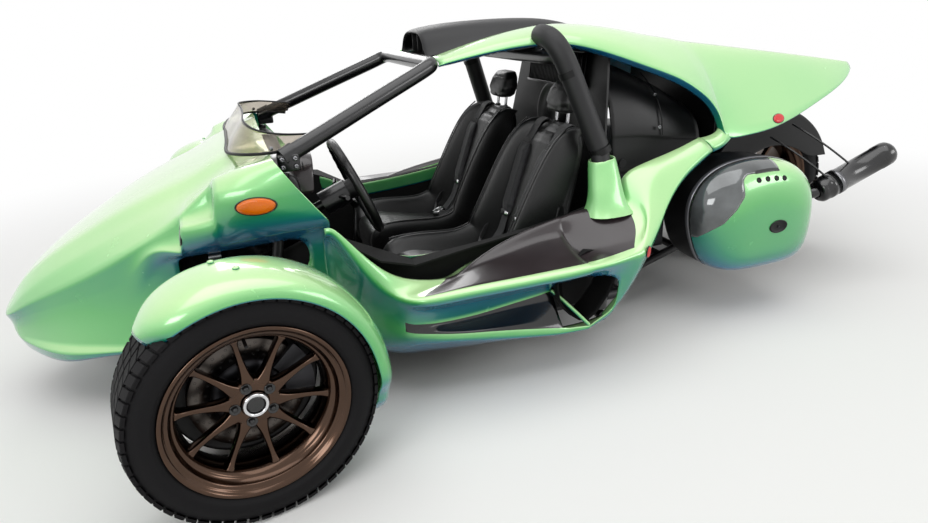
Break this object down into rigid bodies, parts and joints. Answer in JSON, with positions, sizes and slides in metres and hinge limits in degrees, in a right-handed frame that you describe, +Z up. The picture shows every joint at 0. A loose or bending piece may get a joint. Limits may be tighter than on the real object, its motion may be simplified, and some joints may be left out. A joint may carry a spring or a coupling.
{
  "type": "three wheeled sports car",
  "caption": "Low open two-seat car with two steered front wheels, one wide driven rear wheel, a roll cage, side cases and separate front mudguards.",
  "frame": {"origin": "middle of the car's box, on the ground under it", "axes": "+X to the nose, +Y to the driver's left, +Z up from the ground"},
  "size_m": [3.3807, 2.0663, 1.106],
  "materials": {
    "body_paint": "pearl gloss",
    "black_trim": "satin",
    "gloss_black": "gloss",
    "liner": "textured",
    "leather": "grained",
    "webbing": "woven",
    "black_steel": "powder coat",
    "frame_steel": "powder coat",
    "hoop_pad": "foam cover",
    "tyre": "moulded",
    "bronze": "satin bronze",
    "disc_steel": "turned",
    "arm_steel": "machined",
    "shock_steel": "plated",
    "engine_alloy": "cast",
    "screen": "clear",
    "amber": "lens",
    "red_lens": "lens",
    "exhaust_black": "heat resistant"
  },
  "bodies": {
    "chassis": {"nose_body": "body_paint", "side_pod_left": "body_paint", "side_pod_right": "body_paint", "tail_body": "body_paint", "tail_deck": "gloss_black", "roof_scoop": "black_trim", "windscreen": "screen", "cockpit_liner": "liner", "firewall": "black_trim", "seat_left": "leather", "seat_right": "leather", "steering_column": "black_steel", "dashboard": "black_trim", "pedals": "black_steel", "gear_lever": "liner", "lower_frame": "frame_steel", "front_frame": "frame_steel", "front_hoop": "black_steel", "main_hoop": "hoop_pad", "rear_frame": "frame_steel", "swingarm": "frame_steel", "sill_panels": "gloss_black", "headrests": "leather", "harness_pads": "webbing", "engine_block": "engine_alloy", "engine_cover": "black_trim", "front_wishbones": "arm_steel", "front_shocks": "shock_steel", "rear_shock": "shock_steel", "exhausts": "exhaust_black", "case_shells": "body_paint", "turn_signals": "amber", "tail_lights": "red_lens", "rear_mudguard": "black_trim", "rack_housing": "arm_steel"},
    "steer_left": {"knuckle_left": "arm_steel", "front_fender_left": "body_paint"},
    "steer_right": {"knuckle_right": "arm_steel", "front_fender_right": "body_paint"},
    "front_wheel_left": {"front_tyre_left": "tyre", "front_rim_left": "bronze", "front_disc_left": "disc_steel"},
    "front_wheel_right": {"front_tyre_right": "tyre", "front_rim_right": "bronze", "front_disc_right": "disc_steel"},
    "rear_wheel": {"rear_tyre": "tyre", "rear_rim": "bronze"},
    "steering_wheel": {"steering_wheel": "leather"},
    "steering_rack": {"steering_rack": "arm_steel"},
    "tie_rod_left": {"tie_rod_left": "arm_steel"},
    "tie_rod_right": {"tie_rod_right": "arm_steel"},
    "case_lid_left": {"case_lid_left": "body_paint"},
    "case_lid_right": {"case_lid_right": "body_paint"}
  },
  "joints": [
    {"name": "steer_left_turn", "type": "hinge", "parent": "chassis", "child": "steer_left", "pos_m": [0.935, 0.77, 0.2955], "axis": [0, 0, 1], "range_deg": [-40.5, 19.5]},
    {"name": "steer_right_turn", "type": "hinge", "parent": "chassis", "child": "steer_right", "pos_m": [0.935, -0.77, 0.2955], "axis": [0, 0, 1], "range_deg": [-40.5, 19.5]},
    {"name": "front_spin_left", "type": "hinge", "parent": "steer_left", "child": "front_wheel_left", "pos_m": [0.91587, 0.87324, 0.2955], "axis": [-0.1822, 0.9833, 0], "continuous": true},
    {"name": "front_spin_right", "type": "hinge", "parent": "steer_right", "child": "front_wheel_right", "pos_m": [0.95413, -0.87324, 0.2955], "axis": [-0.1822, 0.9833, 0], "continuous": true},
    {"name": "rear_spin", "type": "hinge", "parent": "chassis", "child": "rear_wheel", "pos_m": [-1.351, 0, 0.332], "axis": [0, 1, 0], "continuous": true},
    {"name": "steering_turn", "type": "hinge", "parent": "chassis", "child": "steering_wheel", "pos_m": [0.508, 0.275, 0.622], "axis": [-0.9272, 0, 0.3746], "range_deg": [-250, 125]},
    {"name": "rack_slide", "type": "slide", "parent": "chassis", "child": "steering_rack", "axis": [0, 1, 0], "range_m": [-0.078, 0.04]},
    {"name": "tie_rod_swivel_left", "type": "hinge", "parent": "steer_left", "child": "tie_rod_left", "pos_m": [1.04316, 0.79005, 0.262], "axis": [0, 0, 1], "range_deg": [-20, 41]},
    {"name": "tie_rod_swivel_right", "type": "hinge", "parent": "steer_right", "child": "tie_rod_right", "pos_m": [1.04316, -0.74995, 0.262], "axis": [0, 0, 1], "range_deg": [-20, 41]},
    {"name": "case_open_left", "type": "hinge", "parent": "chassis", "child": "case_lid_left", "pos_m": [-0.951, 0.52, 0.184], "axis": [-1, 0, 0], "range_deg": [0, 50]},
    {"name": "case_open_right", "type": "hinge", "parent": "chassis", "child": "case_lid_right", "pos_m": [-0.951, -0.52, 0.184], "axis": [1, 0, 0], "range_deg": [0, 50]}
  ],
  "couplings": [
    {"joint": "steer_right_turn", "follows": "steer_left_turn", "ratio": 1},
    {"joint": "steering_turn", "follows": "steer_left_turn", "ratio": 6},
    {"joint": "rack_slide", "follows": "steer_left_turn", "m_per_rad": 0.105},
    {"joint": "tie_rod_swivel_left", "follows": "steer_left_turn", "ratio": -1},
    {"joint": "tie_rod_swivel_right", "follows": "steer_left_turn", "ratio": -1}
  ]
}
